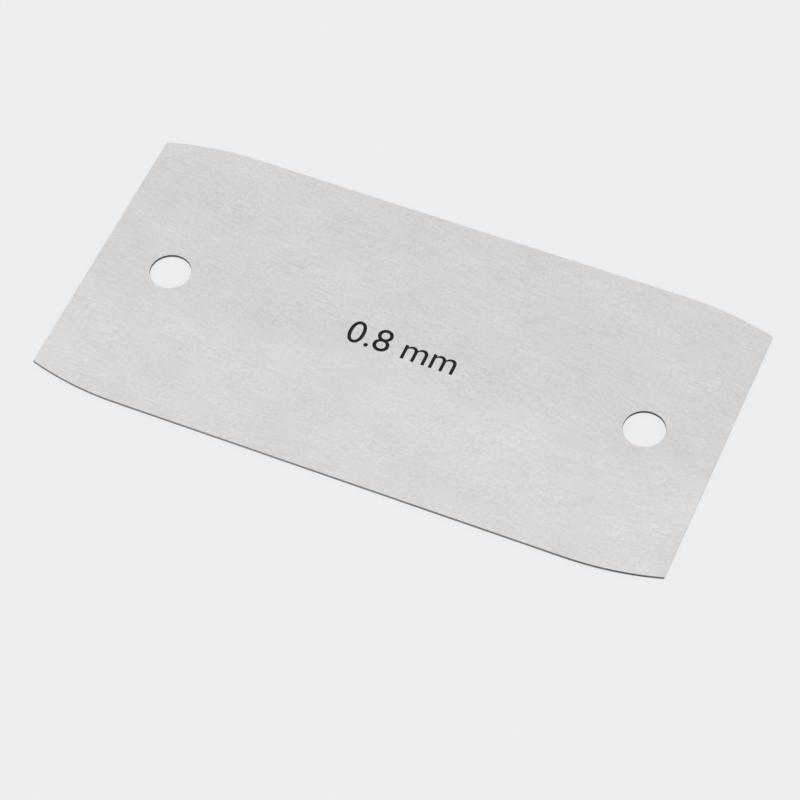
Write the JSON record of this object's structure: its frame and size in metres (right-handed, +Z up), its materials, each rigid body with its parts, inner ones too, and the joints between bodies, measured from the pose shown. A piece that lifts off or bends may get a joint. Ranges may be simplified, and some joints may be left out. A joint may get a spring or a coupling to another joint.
{
  "type": "card scraper",
  "caption": "Flat sheet steel card scraper with straight working edges, corners set back by long arcs, and a deburred hole near each end.",
  "frame": {"origin": "middle of the lower face, on the surface that the blade lies on", "axes": "+X along the blade's length, +Y across it from one working edge to the other, +Z up through its thickness"},
  "size_m": [0.1524, 0.0762, 0.0008],
  "materials": {
    "blade_steel": "fine ground sheet, satin"
  },
  "bodies": {
    "root": {"blade": "blade_steel"}
  },
  "joints": []
}
